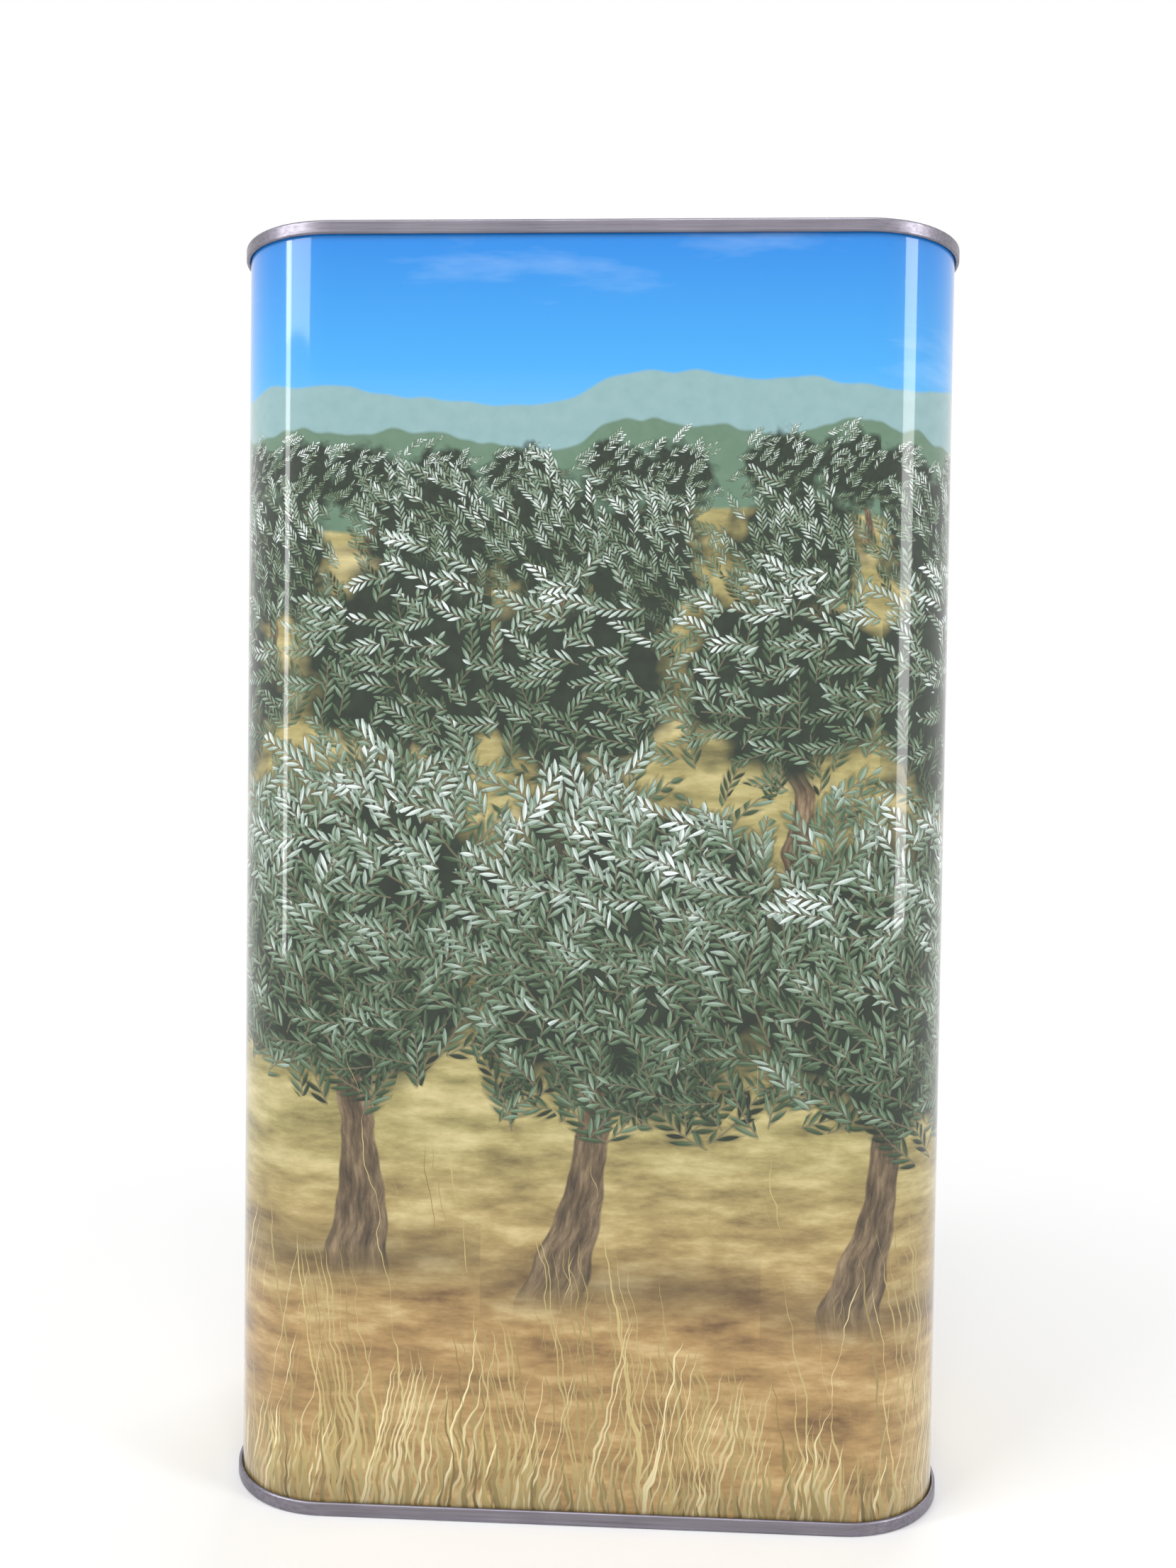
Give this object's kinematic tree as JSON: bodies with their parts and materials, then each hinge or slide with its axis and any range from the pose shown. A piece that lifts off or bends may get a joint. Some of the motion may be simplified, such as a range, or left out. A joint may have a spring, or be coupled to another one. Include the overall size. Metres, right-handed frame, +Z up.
{
  "type": "oil tin",
  "caption": "Rectangular tinplate oil tin with rounded corners, double seams, pull-out pouring spout with screw cap, and folding wire handle.",
  "frame": {"origin": "centre of the base, on the plane of the bottom seam", "axes": "+Z up the tin's height, +X along its width towards the spout, +Y along its depth from the front to the back"},
  "size_m": [0.148, 0.088, 0.2612],
  "materials": {
    "printed_tinplate": "gloss varnish over a printed design",
    "bare_tinplate": "drawn, dull tin",
    "handle_wire": "bright tinned wire",
    "sealing_compound": "matt",
    "white_polyethylene": "moulded, satin",
    "green_polyethylene": "moulded, satin",
    "foam_wad": "expanded foam sheet"
  },
  "bodies": {
    "tin": {"body_shell": "printed_tinplate", "top_end": "bare_tinplate", "bottom_end": "bare_tinplate", "top_compound": "sealing_compound", "bottom_compound": "sealing_compound", "neck_gasket": "sealing_compound", "spout_collar": "white_polyethylene", "ear_left": "bare_tinplate", "ear_right": "bare_tinplate"},
    "spout": {"spout_tube": "white_polyethylene", "tamper_band": "green_polyethylene"},
    "wad": {"cap_liner": "foam_wad"},
    "cap": {"screw_cap": "green_polyethylene"},
    "handle": {"handle_wire": "handle_wire", "handle_grip": "white_polyethylene"}
  },
  "joints": [
    {"name": "spout_pull", "type": "slide", "parent": "tin", "child": "spout", "axis": [0, 0, 1], "range_m": [0, 0.02]},
    {"name": "cap_lift", "type": "slide", "parent": "spout", "child": "wad", "axis": [0, 0, 1], "range_m": [0, 0.014]},
    {"name": "cap_turn", "type": "hinge", "parent": "wad", "child": "cap", "pos_m": [0.044, 0, 0.2502], "axis": [0, 0, 1], "range_deg": [0, 1080]},
    {"name": "handle_swing", "type": "hinge", "parent": "tin", "child": "handle", "pos_m": [-0.025, 0, 0.25385], "axis": [1, 0, 0], "range_deg": [0, 171.8]}
  ],
  "couplings": [
    {"joint": "cap_lift", "follows": "cap_turn", "m_per_rad": 0.00063662}
  ]
}
